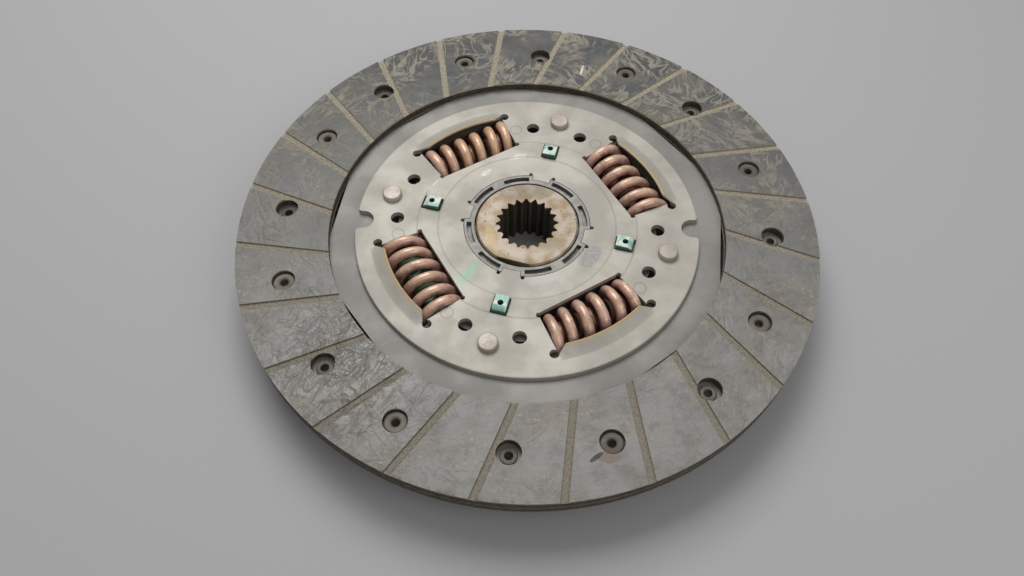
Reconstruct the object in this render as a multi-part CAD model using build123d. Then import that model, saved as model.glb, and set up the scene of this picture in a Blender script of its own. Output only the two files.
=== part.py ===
"""Clutch disc: two riveted facings on a waved cushion plate, a spring damper and a splined hub.

Frame: millimetres, +Z along the shaft, origin on the shaft axis at the hub's lower end.
Angles are counter-clockwise from +X, seen from above.
"""
from build123d import *
from math import asin, atan2, cos, degrees, hypot, pi, radians, sin, sqrt, tan
import os

# ---- driving dimensions -------------------------------------------------------------

# friction facings
FACING_OD = 240.0
FACING_ID = 165.0
FACING_THICK = 3.5
FACING_TOP_Z = 24.0
GROOVES = 24
GROOVE_WIDTH = 3.0
GROOVE_DEPTH = 0.7
GROOVE_RIM_ANGLE = 7.5
GROOVE_LEAN = 6.0

# cushion plate between the facings
CUSHION_SHEET = 0.8
CUSHION_WAVE = 0.35
PADDLES = 8
PADDLE_CENTRE = 8.25
PADDLE_GAP = 2.0
PADDLE_RAMP = 11.0
NECK_CENTRE = 16.2
NECK_WIDTH = 20.0
RING_UNDER = 1.5
SLIT = 4.4
SLIT_HALF = 18.0
SLIT_SHOWS = 1.65
RIM_MARGIN = 1.5

# facing rivets, one to each facing on every paddle
RIVET_OUTWARD = 0.35
RIVET_SPREAD = 10.45
RIVET_HOLE = 9.4
RIVET_HEAD = 8.6
RIVET_SHANK = 4.8
RIVET_BORE = 3.35
RIVET_ROLL = 6.7
RIVET_HEAD_THICK = 1.0
RIVET_SUNK = 1.4

# cover plates
COVER_OD = 144.0
COVER_SHEET = 2.45
COVER_EDGE = 0.8
NOTCH_WIDTH = 9.0
NOTCH_DEPTH = 7.5
NOTCH_MOUTH = 2.0
HUB_WINDOW = 53.2
TONGUE_REACH = 2.4
TONGUE_HALF = 8.3
TONGUE_RELIEF = 1.6
RELIEF_REACH = 1.4
SIGHT_HOLE = 5.7
SIGHT_CIRCLE = 54.6
SIGHT_SPREAD = 11.5
LUG_WINDOW_LONG = 8.4
LUG_WINDOW_WIDE = 7.0
DISH_DEPTH = 3.0
DISH_RADIUS = 36.0
DISH_SLOPE = 2.0
RAISED_INNER = 37.2
RAISED_OUTER = 46.0
RAISED = 0.25

# spring windows, cut through both cover plates and the flange
WINDOWS = 4
WINDOW_ANGLE = 32.0
WINDOW_HALF = 18.65
WINDOW_FLARE = 6.85
WINDOW_CLEAR = 0.15
WINDOW_ROOM = 3.2
CORNER_RELIEF = 1.0
LIP_OVER = 0.2
LIP_RISE = 2.2
LIP_FOOT = 3.6
LIP_RAMP = 3.2
LIP_STEPS = 24
LIP_HOLE = 3.8
LIP_HOLE_STEP = 1.4

# damper springs
SPRING_OD = 20.4
SPRING_WIRE = 4.1
SPRING_TURNS = 5.5
SPRING_CENTRE = 49.6
INNER_OD = 11.4
INNER_WIRE = 2.4
INNER_TURNS = 8.5
SPRING_GAP = 0.3

# stop pins
PIN_ANGLE = 77.0
PIN_CIRCLE = 59.5
PIN_HEAD = 8.2
PIN_HEAD_THICK = 2.4
PIN_STEM = 6.4
PIN_BODY = 9.0
EAR_WIDTH = 15.0

# flange
FLANGE_THICK = 7.0
FLANGE_MARGIN = 2.5
MAIN_TWIST = 12.0
PIN_ROOM = 0.5

# hub
HUB_LENGTH = 23.15
HUB_FACE_OD = 43.0
HUB_BARREL_OD = 38.0
SPLINE_TEETH = 20
SPLINE_MAJOR = 26.2
SPLINE_MINOR = 22.4
SPLINE_VALLEY = 3.0
SPLINE_CHAMFER = 0.4
HUB_CHAMFER = 0.7
HUB_TOOTH_OD = 49.6
HUB_TOOTH_WIDTH = 9.0
HUB_TOOTH_STEP = 30.0
IDLE_TWIST = 4.0

# idle springs
IDLE_OD = 5.4
IDLE_WIRE = 0.9
IDLE_LENGTH = 10.0
IDLE_TURNS = 6.5
IDLE_CIRCLE = 24.5

# bushes, lug ring and friction pack
BUSH_OD = 52.8
BUSH_COLLAR = 66.0
BUSH_SLOT = 2.0
BUSH_SLOT_DEPTH = 2.2
BUSH_SLOT_CIRCLE = 24.3
BUSH_SLOT_SPREAD = 19.7
BUSH_SLOT_SPAN = 26.0
LUG_RING_GAP = 0.9
LUG_CIRCLE = 41.6
LUG_LONG = 7.2
LUG_WIDE = 5.9
LUG_PROUD = 2.4
LUG_NOSE = 2.8
LUG_HOLE = 2.4
LUG_ARM = 9.0
LOWER_BUSH_OD = 48.0
LOWER_BUSH_COLLAR = 54.0
PACK_OD = 71.0
FRICTION_WASHER = 1.0
PRESSURE_WASHER = 0.8
DIAPHRAGM_SHEET = 0.7

# clearances
FIT = 0.5
PLAY = 0.3
SLIP = 0.1
KEY = 0.15

# ---- levels worked out from the sizes above -----------------------------------------

FACING_GAP = CUSHION_SHEET + 2 * CUSHION_WAVE
facing_low = FACING_TOP_Z - FACING_THICK
mid_z = facing_low - FACING_GAP / 2
cover_low = mid_z + CUSHION_SHEET / 2
cover_top = cover_low + COVER_SHEET
flange_top = mid_z - CUSHION_SHEET / 2 - 0.15
axis_z = flange_top - FLANGE_THICK / 2
flange_low = flange_top - FLANGE_THICK
back_top = 2 * axis_z - (mid_z - CUSHION_SHEET / 2)
back_low = back_top - COVER_SHEET
dish_top = back_top - DISH_DEPTH
facing_r = FACING_OD / 2
facing_inner = FACING_ID / 2
cover_r = COVER_OD / 2
rivet_circle = (facing_r + facing_inner) / 2 + RIVET_OUTWARD
cushion_r = facing_inner + RING_UNDER
slit_flat = facing_inner - SLIT_SHOWS
slit_outer = slit_flat + SLIT
hub_window_r = HUB_WINDOW / 2
tooth_tip = HUB_TOOTH_OD / 2
hub_face_r = HUB_FACE_OD / 2
tooth_root = hub_face_r + 0.8
spring_inner = SPRING_CENTRE - SPRING_OD / 2
spring_outer = SPRING_CENTRE + SPRING_OD / 2
spring_flank = sqrt((SPRING_OD / 2) ** 2 - (axis_z - back_top) ** 2)
window_inner = SPRING_CENTRE - spring_flank - WINDOW_CLEAR
window_root = spring_outer + WINDOW_ROOM
lip_edge = spring_outer - LIP_OVER
flange_r = window_root + FLANGE_MARGIN
lug_ring_r = spring_inner - LUG_RING_GAP
flare = tan(radians(WINDOW_FLARE))
window_end = degrees(asin((WINDOW_HALF + (window_root - window_inner) * flare) / window_root))
lip_half = window_end - 0.26
window_angles = [WINDOW_ANGLE + k * 360 / WINDOWS for k in range(WINDOWS)]
pin_angles = [PIN_ANGLE + k * 360 / WINDOWS for k in range(WINDOWS)]
paddle_angles = [PADDLE_CENTRE + k * 360 / PADDLES for k in range(PADDLES)]


# ---- small helpers ------------------------------------------------------------------

def polar(r, angle, z=0.0):
    """The point at radius r and angle, in degrees, at height z."""
    return (r * cos(radians(angle)), r * sin(radians(angle)), z)


def at(r, angle, z=0.0):
    """A place on a circle, with its local X pointing outwards."""
    return Pos(*polar(r, angle, z)) * Rot(0, 0, angle)


def disc(r, low, high, angle=0.0, circle=0.0):
    """A cylinder of radius r between two heights, at a place on a circle."""
    return at(circle, angle, low) * extrude(Circle(r), high - low)


def ring(inner, outer, low, high):
    """A plain ring between two heights."""
    return Pos(0, 0, low) * extrude(Circle(outer) - Circle(inner), high - low)


def slab(x_low, x_high, width, low, high, angle=0.0):
    """A block that runs outwards along one angle from x_low to x_high."""
    length = x_high - x_low
    block = Box(length, width, high - low)
    return Rot(0, 0, angle) * Pos(x_low + length / 2, 0, (low + high) / 2) * block


def fan(half_angle, reach):
    """A flat wedge about local +X, from the shaft axis out to reach."""
    x, y, _ = polar(reach, half_angle)
    return Polygon((0, 0), (x, -y), (x, y), align=None)


def sector(inner, outer, start, stop, low, high):
    """A piece of a ring between two angles."""
    flat = (Circle(outer) - Circle(inner)) & fan((stop - start) / 2, 2 * outer)
    return Rot(0, 0, (start + stop) / 2) * Pos(0, 0, low) * extrude(flat, high - low)


def turned(points, span=360.0, start=0.0):
    """A solid turned about the shaft axis from a section of (radius, height) points."""
    face = Plane.XZ * Polygon(*points, align=None)
    return Rot(0, 0, start) * revolve(face, Axis.Z, span)


def window_half(v):
    """Half the window's length at a distance v from the shaft axis."""
    return WINDOW_HALF + (v - window_inner) * flare


def window_outline(inner, outer, arc_r=None):
    """A window's outline about its axis, which is local +X."""
    corners = [(inner, -window_half(inner)), (outer, -window_half(outer))]
    corners += [(outer, window_half(outer)), (inner, window_half(inner))]
    outline = Polygon(*corners, align=None)
    return outline & Circle(arc_r) if arc_r else outline


# ---- facings ------------------------------------------------------------------------

def top_facing():
    """A grooved ring with a stepped hole for its own rivet and a clear one for the other's."""
    body = ring(facing_inner, facing_r, facing_low, FACING_TOP_Z)
    cutters = []
    for k in range(GROOVES):
        rim = Vector(*polar(facing_r, GROOVE_RIM_ANGLE + k * 360 / GROOVES))
        inner = Vector(*polar(facing_inner, GROOVE_RIM_ANGLE + GROOVE_LEAN + k * 360 / GROOVES))
        along = rim - inner
        groove = Box(along.length + 12, GROOVE_WIDTH, 2 * GROOVE_DEPTH)
        middle = (rim + inner) / 2
        turn = degrees(atan2(along.Y, along.X))
        cutters.append(Pos(middle.X, middle.Y, FACING_TOP_Z) * Rot(0, 0, turn) * groove)
    seat = FACING_TOP_Z - RIVET_SUNK - RIVET_HEAD_THICK
    for angle in paddle_angles:
        own = angle + RIVET_SPREAD
        cutters.append(disc(RIVET_HOLE / 2, seat, FACING_TOP_Z + 1, own, rivet_circle))
        cutters.append(disc(RIVET_SHANK / 2, facing_low - 1, seat, own, rivet_circle))
        other = angle - RIVET_SPREAD
        cutters.append(disc(RIVET_HOLE / 2, facing_low - 1, FACING_TOP_Z + 1, other, rivet_circle))
    return body - cutters


def top_rivet(angle):
    """A tubular rivet: head in the facing, rolled end under the cushion plate."""
    head_low = FACING_TOP_Z - RIVET_SUNK - RIVET_HEAD_THICK
    head_top = head_low + RIVET_HEAD_THICK
    roll_top = facing_low - CUSHION_SHEET
    bore = RIVET_BORE / 2
    section = [
        (bore, roll_top - 0.6),
        (bore + 0.5, roll_top - 0.8),
        (RIVET_ROLL / 2 - 0.3, roll_top - 0.6),
        (RIVET_ROLL / 2, roll_top),
        (RIVET_SHANK / 2, roll_top),
        (RIVET_SHANK / 2, head_low),
        (RIVET_HEAD / 2, head_low),
        (RIVET_HEAD / 2, head_top - 0.35),
        (RIVET_HEAD / 2 - 0.4, head_top - 0.05),
        (bore + 0.6, head_top),
        (bore, head_top - 0.4),
    ]
    return at(rivet_circle, angle + RIVET_SPREAD) * turned(section)


def turn_over(shape):
    """Turns a top piece over into its twin on the other side of the cushion plate."""
    flip = Axis((0, 0, mid_z), polar(1.0, PADDLE_CENTRE))
    return shape.rotate(flip, 180)


# ---- cushion plate ------------------------------------------------------------------

def wave_section(x, lift):
    """The paddle's sheet, cut across at a distance x: low on one side, high on the other."""
    far = facing_r
    run = [(-far, -lift), (-PADDLE_RAMP, -lift), (PADDLE_RAMP, lift), (far, lift)]
    low = [(y, mid_z + dz - CUSHION_SHEET / 2) for y, dz in run]
    high = [(y, mid_z + dz + CUSHION_SHEET / 2) for y, dz in reversed(run)]
    return Plane((x, 0, 0), x_dir=(0, 1, 0), z_dir=(1, 0, 0)) * Polygon(*low, *high, align=None)


def paddle():
    """One waved paddle with its neck, about local +X."""
    root = cushion_r - 6
    tip = facing_r - RIM_MARGIN
    flat_end = slit_outer
    stations = [(root, 0.0), (flat_end, 0.0), (flat_end + 7, CUSHION_WAVE), (facing_r + 1, CUSHION_WAVE)]
    sheet = loft([wave_section(x, lift) for x, lift in stations], ruled=True)
    half = 180 / PADDLES - degrees(PADDLE_GAP / 2 / rivet_circle)
    blade = sector(flat_end, tip, -half, half, mid_z - 3, mid_z + 3)
    lean = NECK_CENTRE - PADDLE_CENTRE
    start = lean - NECK_WIDTH / 2
    neck = sector(root + 1, flat_end + 1, start, start + NECK_WIDTH, mid_z - 3, mid_z + 3)
    cut = sheet & (blade + neck)
    for turn in (-RIVET_SPREAD, RIVET_SPREAD):
        cut -= disc(RIVET_SHANK / 2, mid_z - 3, mid_z + 3, turn, rivet_circle)
    return cut


def cushion_plate():
    """A flat ring, slit between its eight necks, with ears under the pins and waved paddles."""
    low = mid_z - CUSHION_SHEET / 2
    inner = window_root + 2.4
    body = ring(inner, cushion_r, low, cover_low)
    for angle in paddle_angles:
        slit_angle = angle - PADDLE_CENTRE + NECK_CENTRE + 180 / PADDLES
        body -= slab(slit_flat, slit_outer, 2 * SLIT_HALF, low - 1, cover_low + 1, slit_angle)
    for angle in pin_angles:
        body += slab(PIN_CIRCLE, inner + 1, EAR_WIDTH, low, cover_low, angle)
        body += disc(EAR_WIDTH / 2, low, cover_low, angle, PIN_CIRCLE)
    blade = paddle()
    body += [Rot(0, 0, angle) * blade for angle in paddle_angles]
    return body - [disc(PIN_STEM / 2, low - 1, cover_low + 1, angle, PIN_CIRCLE) for angle in pin_angles]


# ---- cover plates -------------------------------------------------------------------

def plate_outline():
    """The stamped rim: a circle with two filleted notches."""
    outline = Circle(cover_r)
    bottom = cover_r - NOTCH_DEPTH
    for side in (1, -1):
        mouth = Pos(side * (bottom + NOTCH_WIDTH / 2 + 10), 0) * Rectangle(20, NOTCH_WIDTH)
        outline -= mouth + Pos(side * (bottom + NOTCH_WIDTH / 2), 0) * Circle(NOTCH_WIDTH / 2)
    rim = [v for v in outline.vertices() if abs(hypot(v.X, v.Y) - cover_r) < 0.01 and abs(v.Y) > 1]
    return fillet(rim, NOTCH_MOUTH)


def lip_section(angle, share):
    """The lip cut across at one angle. Its share is 0 where it is flat and 1 at full height."""
    sheet = COVER_SHEET
    rise = LIP_RISE * share
    edge = lip_edge + (window_root - lip_edge) * (1 - share)
    width = window_root + LIP_FOOT - edge
    profile = [
        (1.0, 0.3),
        (1.0, sheet - 0.25),
        (0.8, sheet + 0.06 * rise),
        (0.6, sheet + 0.25 * rise),
        (0.4, sheet + 0.55 * rise),
        (0.21, sheet + 0.83 * rise),
        (0.09, sheet + 0.97 * rise),
        (0.02, sheet + 0.93 * rise - 0.1),
        (0.0, sheet + 0.75 * rise - 0.3),
        (0.09, 0.8 * sheet + 0.35 * rise),
        (0.35, 0.4 * sheet + 0.25 * rise),
        (0.65, 0.15 * sheet),
        (0.85, 0.0),
    ]
    face = Polygon(*[(edge + part * width, z) for part, z in profile], align=None)
    return Rot(0, 0, angle) * (Plane.XZ * face)


def lip():
    """The lip along a window's outer edge, pressed out of the sheet, about local +X."""
    sections = []
    for k in range(LIP_STEPS + 1):
        angle = lip_half * (2 * k / LIP_STEPS - 1)
        share = min(1.0, (lip_half - abs(angle)) / LIP_RAMP)
        sections.append(lip_section(angle, share * share * (3 - 2 * share)))
    return loft(sections, ruled=True)


def stamped_plate(section):
    """What both cover plates share, built with the inner face at z = 0 and the lips up."""
    body = turned(section) & Pos(0, 0, -20) * extrude(plate_outline(), 40)
    through = COVER_SHEET + 1
    window = window_outline(window_inner, window_root + 2, window_root)
    for side in (1, -1):
        corner = (window_inner + CORNER_RELIEF * 0.7, side * (WINDOW_HALF + 0.2))
        window += Pos(*corner) * Circle(CORNER_RELIEF)
    cutters = [Rot(0, 0, angle) * Pos(0, 0, -1) * extrude(window, through + 1) for angle in window_angles]
    body -= cutters
    pressed = lip()
    body += [Rot(0, 0, angle) * pressed for angle in window_angles]
    holes = []
    for angle in window_angles:
        for side in (1, -1):
            turn = angle + side * (lip_half + LIP_HOLE_STEP)
            holes.append(disc(LIP_HOLE / 2, -1, through, turn, window_root - 0.6))
    for angle in pin_angles:
        holes.append(disc(PIN_STEM / 2, -1, through, angle, PIN_CIRCLE))
        for side in (1, -1):
            holes.append(disc(SIGHT_HOLE / 2, -1, through, angle + side * SIGHT_SPREAD, SIGHT_CIRCLE))
    return body - holes


def cover_plate_top():
    """The visible plate: four keyed tongues around the hub window and four lug windows."""
    reach = hub_window_r - TONGUE_REACH
    edge = COVER_EDGE
    section = [
        (reach, 0),
        (RAISED_INNER, 0),
        (RAISED_INNER + 0.5, RAISED),
        (RAISED_OUTER - 0.5, RAISED),
        (RAISED_OUTER, 0),
        (cover_r, 0),
        (cover_r, COVER_SHEET - edge),
        (cover_r - edge * 0.3, COVER_SHEET - edge * 0.3),
        (cover_r - edge, COVER_SHEET),
        (RAISED_OUTER, COVER_SHEET),
        (RAISED_OUTER - 0.5, COVER_SHEET + RAISED),
        (RAISED_INNER + 0.5, COVER_SHEET + RAISED),
        (RAISED_INNER, COVER_SHEET),
        (reach, COVER_SHEET),
    ]
    body = stamped_plate(section)
    cutters = []
    for angle in pin_angles:
        start = angle + TONGUE_HALF
        stop = angle + 360 / WINDOWS - TONGUE_HALF
        cutters.append(sector(reach - 1, hub_window_r, start, stop, -1, COVER_SHEET + 1))
        for side in (1, -1):
            turn = angle + side * (TONGUE_HALF + 2.4)
            tip = hub_window_r + RELIEF_REACH - TONGUE_RELIEF / 2
            cutters.append(slab(reach, tip, TONGUE_RELIEF, -1, COVER_SHEET + 1, turn))
            cutters.append(disc(TONGUE_RELIEF / 2, -1, COVER_SHEET + 1, turn, tip))
        frame = RectangleRounded(LUG_WINDOW_LONG, LUG_WINDOW_WIDE, 0.6)
        cutters.append(at(LUG_CIRCLE, angle, -1) * extrude(frame, COVER_SHEET + 2))
    return Pos(0, 0, cover_low) * (body - cutters)


def cover_plate_bottom():
    """The hidden plate: the same rim and windows, with its centre dished to hold the friction pack."""
    bore = LOWER_BUSH_OD / 2
    edge = COVER_EDGE
    foot = DISH_RADIUS + DISH_SLOPE
    section = [
        (bore, DISH_DEPTH),
        (DISH_RADIUS, DISH_DEPTH),
        (foot, 0),
        (cover_r, 0),
        (cover_r, COVER_SHEET - edge),
        (cover_r - edge * 0.3, COVER_SHEET - edge * 0.3),
        (cover_r - edge, COVER_SHEET),
        (foot + 1.6, COVER_SHEET),
        (DISH_RADIUS + 1.6, COVER_SHEET + DISH_DEPTH),
        (bore, COVER_SHEET + DISH_DEPTH),
    ]
    return Pos(0, 0, back_top) * mirror(stamped_plate(section), Plane.XY)


def stop_pin(angle):
    """A shouldered rivet: its body spaces the plates, its two heads clamp them."""
    shoulder_top = mid_z - CUSHION_SHEET / 2
    top = cover_top + PIN_HEAD_THICK
    low = back_low - PIN_HEAD_THICK
    head = PIN_HEAD / 2
    stem = PIN_STEM / 2
    section = [
        (0, low), (head - 0.8, low), (head - 0.4, low + 0.12), (head - 0.12, low + 0.5),
        (head, low + 1.0), (head, back_low),
        (stem, back_low), (stem, back_top), (PIN_BODY / 2, back_top),
        (PIN_BODY / 2, shoulder_top), (stem, shoulder_top), (stem, cover_top),
        (head, cover_top), (head, top - 1.0), (head - 0.12, top - 0.5), (head - 0.4, top - 0.12),
        (head - 0.8, top), (0, top),
    ]
    return at(PIN_CIRCLE, angle) * turned(section)


# ---- flange -------------------------------------------------------------------------

def idle_pocket():
    """The pocket of an idle spring, about local +X, cut into the flange and the hub."""
    width = IDLE_LENGTH + 2 * PLAY
    depth = IDLE_OD + 2 * PLAY
    return Pos(IDLE_CIRCLE, 0) * Rectangle(depth, width)


def drive_flange():
    """Four arms between the springs, with room for the stop pins and teeth for the hub."""
    outline = Circle(flange_r) - Circle(tooth_root + PLAY)
    window = window_outline(spring_inner - FIT, spring_outer + FIT)
    outline -= [Rot(0, 0, angle) * window for angle in window_angles]
    notch_inner = PIN_CIRCLE - PIN_BODY / 2 - PIN_ROOM
    half = MAIN_TWIST + degrees(asin((PIN_BODY / 2 + PLAY) / PIN_CIRCLE))
    notch = (Circle(2 * flange_r) - Circle(notch_inner)) & fan(half, 4 * flange_r)
    outline -= [Rot(0, 0, angle) * notch for angle in pin_angles]
    gap = Circle(tooth_tip + PLAY) & fan(HUB_TOOTH_WIDTH / 2 + IDLE_TWIST + 0.5, 2 * tooth_tip)
    for angle in pin_angles:
        outline -= Rot(0, 0, angle) * idle_pocket()
        outline -= Rot(0, 0, angle + HUB_TOOTH_STEP) * gap
        outline -= Rot(0, 0, angle + 2 * HUB_TOOTH_STEP) * gap
    return Pos(0, 0, flange_low) * extrude(outline, FLANGE_THICK)


# ---- hub ----------------------------------------------------------------------------

def spline_outline():
    """The internal spline: a bore with straight-sided valleys cut out to the major circle."""
    minor = SPLINE_MINOR / 2
    major = SPLINE_MAJOR / 2
    pitch = 360 / SPLINE_TEETH
    mouth = minor * sin(radians(pitch * 0.40))
    floor = major * sin(radians(pitch * 0.07))
    corners = [(0, 0), (minor, -mouth), (major, -floor), (major, floor), (minor, mouth)]
    valley = Polygon(*corners, align=None)
    outline = Circle(minor)
    return outline + [Rot(0, 0, SPLINE_VALLEY + k * pitch) * valley for k in range(SPLINE_TEETH)]


def hub():
    """The splined hub: barrel, face and a ring of teeth that sits in the flange."""
    face_r = hub_face_r
    barrel = HUB_BARREL_OD / 2
    chamfer = HUB_CHAMFER
    ring_low = flange_low + SLIP
    ring_top = flange_top - SLIP
    section = [
        (0, 0), (barrel - 1.2, 0), (barrel, 1.2), (barrel, ring_low), (tooth_root, ring_low),
        (tooth_root, ring_top), (face_r, ring_top), (face_r, HUB_LENGTH - chamfer),
        (face_r - chamfer, HUB_LENGTH), (0, HUB_LENGTH),
    ]
    body = turned(section)
    tooth = Circle(tooth_tip) & fan(HUB_TOOTH_WIDTH / 2, 2 * tooth_tip)
    for angle in pin_angles:
        for step in (HUB_TOOTH_STEP, 2 * HUB_TOOTH_STEP):
            body += Rot(0, 0, angle + step) * Pos(0, 0, ring_low) * extrude(tooth, ring_top - ring_low)
    for angle in pin_angles:
        pocket = extrude(idle_pocket(), ring_top - ring_low + 2)
        pocket &= Pos(0, 0, -1) * ring(face_r, 2 * tooth_tip, 0, HUB_LENGTH)
        body -= Rot(0, 0, angle) * Pos(0, 0, ring_low - 1) * pocket
    body -= Pos(0, 0, -1) * extrude(spline_outline(), HUB_LENGTH + 2)
    minor = SPLINE_MINOR / 2
    entry = minor + SPLINE_CHAMFER
    drop = 2 * SPLINE_CHAMFER
    for low, high in ((HUB_LENGTH, HUB_LENGTH - drop), (0, drop)):
        body -= turned([(0, low), (entry, low), (minor - SPLINE_CHAMFER, high), (0, high)])
    return body


# ---- springs ------------------------------------------------------------------------

def coil(mean_r, wire, turns, half_length, spread=0.0, steps=12):
    """A closed-end coil along local Y. The ends fan out by spread for each mm away from the shaft."""
    close = 1.0
    reach = half_length - wire / 2
    tight = wire * 1.03
    loose = (2 * reach - close * tight) / (turns - close)
    points = []
    count = int(turns * steps)
    for k in range(count + 1):
        t = turns * k / count
        near = min(t, turns - t)
        if near < close:
            share = near / close
            step = tight * near + (loose - tight) * (share ** 3 - share ** 4 / 2) * close
        else:
            step = tight * close + (loose - tight) * close / 2 + loose * (near - close)
        y = step - reach if t <= turns / 2 else reach - step
        x = mean_r * cos(2 * pi * t)
        z = mean_r * sin(2 * pi * t)
        points.append((x, y * (1 + spread * x), z))
    path = Spline(*points)
    profile = Plane(origin=path @ 0, z_dir=path % 0) * Circle(wire / 2)
    return sweep(profile, path)


def damper_spring(angle, outer, wire, turns):
    """A main or an inner spring in its window, its ends square to the window's ends."""
    middle = window_half(SPRING_CENTRE) - SPRING_GAP
    spread = flare / middle
    body = coil((outer - wire) / 2, wire, turns, middle, spread)
    return at(SPRING_CENTRE, angle, axis_z) * body


def idle_spring(angle):
    """A small spring in a pocket half in the hub and half in the flange."""
    body = coil((IDLE_OD - IDLE_WIRE) / 2, IDLE_WIRE, IDLE_TURNS, IDLE_LENGTH / 2)
    return at(IDLE_CIRCLE, angle, axis_z) * body


# ---- bushes, lug ring and friction pack ---------------------------------------------

def centring_bush():
    """The plastic ring that centres the plates on the hub, keyed by the plate's tongues."""
    inner = hub_face_r + FIT
    body = ring(inner, BUSH_COLLAR / 2, flange_top + SLIP, cover_low)
    body += ring(inner, BUSH_OD / 2, cover_low - 0.2, cover_top)
    tongue = hub_window_r - TONGUE_REACH - KEY
    relief = degrees(KEY / tongue)
    cutters = []
    for angle in pin_angles:
        half = TONGUE_HALF + relief
        cutters.append(sector(tongue, BUSH_OD, angle - half, angle + half, cover_low, cover_top + 1))
    for angle in window_angles:
        for side in (1, -1):
            middle = angle + side * BUSH_SLOT_SPREAD
            low = BUSH_SLOT_CIRCLE - BUSH_SLOT / 2
            high = BUSH_SLOT_CIRCLE + BUSH_SLOT / 2
            start = middle - BUSH_SLOT_SPAN / 2
            stop = middle + BUSH_SLOT_SPAN / 2
            cutters.append(sector(low, high, start, stop, cover_top - BUSH_SLOT_DEPTH, cover_top + 1))
    return body - cutters


def lug_ring():
    """The friction ring whose four lugs come up through the visible plate and stop it turning."""
    low = flange_top + SLIP
    body = ring(BUSH_COLLAR / 2 + FIT, lug_ring_r, low, cover_low)
    outer = LUG_CIRCLE + LUG_LONG / 2
    top = cover_top + LUG_PROUD
    for angle in pin_angles:
        body += slab(lug_ring_r - 2, outer + 1, LUG_ARM, low, cover_low, angle)
    lug = Box(LUG_LONG, LUG_WIDE, top - cover_low)
    outer_edge = lug.edges().filter_by(Axis.Y).sort_by(Axis.X)[-2:].sort_by(Axis.Z)[-1]
    lug = fillet(outer_edge, LUG_NOSE)
    lug = fillet(lug.edges().filter_by(Axis.Z), 0.5)
    for angle in pin_angles:
        body += at(LUG_CIRCLE, angle, (top + cover_low) / 2) * lug
    return body - [disc(LUG_HOLE / 2, low - 1, top + 1, angle, LUG_CIRCLE) for angle in pin_angles]


def lower_bush():
    """The bush that centres the hidden plate on the hub's barrel and holds up its teeth."""
    inner = HUB_BARREL_OD / 2 + SLIP
    body = ring(inner, LOWER_BUSH_COLLAR / 2, dish_top, flange_low)
    return body + ring(inner, LOWER_BUSH_OD / 2, dish_top - COVER_SHEET - 0.5, dish_top + 0.2)


def pack_levels():
    """Heights of the friction pack, from the dished plate up to the flange."""
    top = flange_low - SLIP
    washer = top - FRICTION_WASHER
    return dish_top, washer - PRESSURE_WASHER, washer, top


def diaphragm_spring():
    """A shallow dished spring washer."""
    low, high, _, _ = pack_levels()
    inner = LOWER_BUSH_COLLAR / 2 + FIT
    outer = PACK_OD / 2
    return turned([(inner, high - DIAPHRAGM_SHEET), (inner, high), (outer, low + DIAPHRAGM_SHEET), (outer, low)])


# ---- build --------------------------------------------------------------------------

def model():
    """Every piece by name."""
    facing = top_facing()
    rivets = [top_rivet(angle) for angle in paddle_angles]
    _, pressure_low, washer_low, washer_top = pack_levels()
    pack_inner = LOWER_BUSH_COLLAR / 2 + FIT
    pieces = {
        "facing_top": facing,
        "facing_bottom": turn_over(facing),
        "top_facing_rivets": Compound(children=rivets),
        "bottom_facing_rivets": Compound(children=[turn_over(rivet) for rivet in rivets]),
        "cushion_plate": cushion_plate(),
        "cover_plate_top": cover_plate_top(),
        "cover_plate_bottom": cover_plate_bottom(),
        "drive_flange": drive_flange(),
        "hub": hub(),
        "centring_bush": centring_bush(),
        "lug_ring": lug_ring(),
        "lower_bush": lower_bush(),
        "diaphragm_spring": diaphragm_spring(),
        "pressure_washer": ring(pack_inner, PACK_OD / 2, pressure_low, washer_low),
        "friction_washer": ring(pack_inner, PACK_OD / 2, washer_low, washer_top),
    }
    for k in range(WINDOWS):
        window = window_angles[k]
        pin = pin_angles[k]
        pieces[f"damper_spring_{k + 1}"] = damper_spring(window, SPRING_OD, SPRING_WIRE, SPRING_TURNS)
        pieces[f"inner_spring_{k + 1}"] = damper_spring(window, INNER_OD, INNER_WIRE, INNER_TURNS)
        pieces[f"stop_pin_{k + 1}"] = stop_pin(pin)
        pieces[f"idle_spring_{k + 1}"] = idle_spring(pin)
    return pieces


os.makedirs("parts", exist_ok=True)
for name, piece in model().items():
    export_step(piece, f"parts/{name}.step")
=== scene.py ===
# %% [markdown]
# # A used clutch disc
# A clutch disc sits between a flywheel and a pressure plate. Two friction facings grip,
# and coil springs in the middle soften the twist before it reaches the splined hub.
# The sheet metal, hub and rivets arrive as finished shapes, so this lesson is about
# three things: softening their edges, winding the springs, and giving each surface the
# finish of the material it is really made of.

# %% Load the fixed frame
import math

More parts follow.
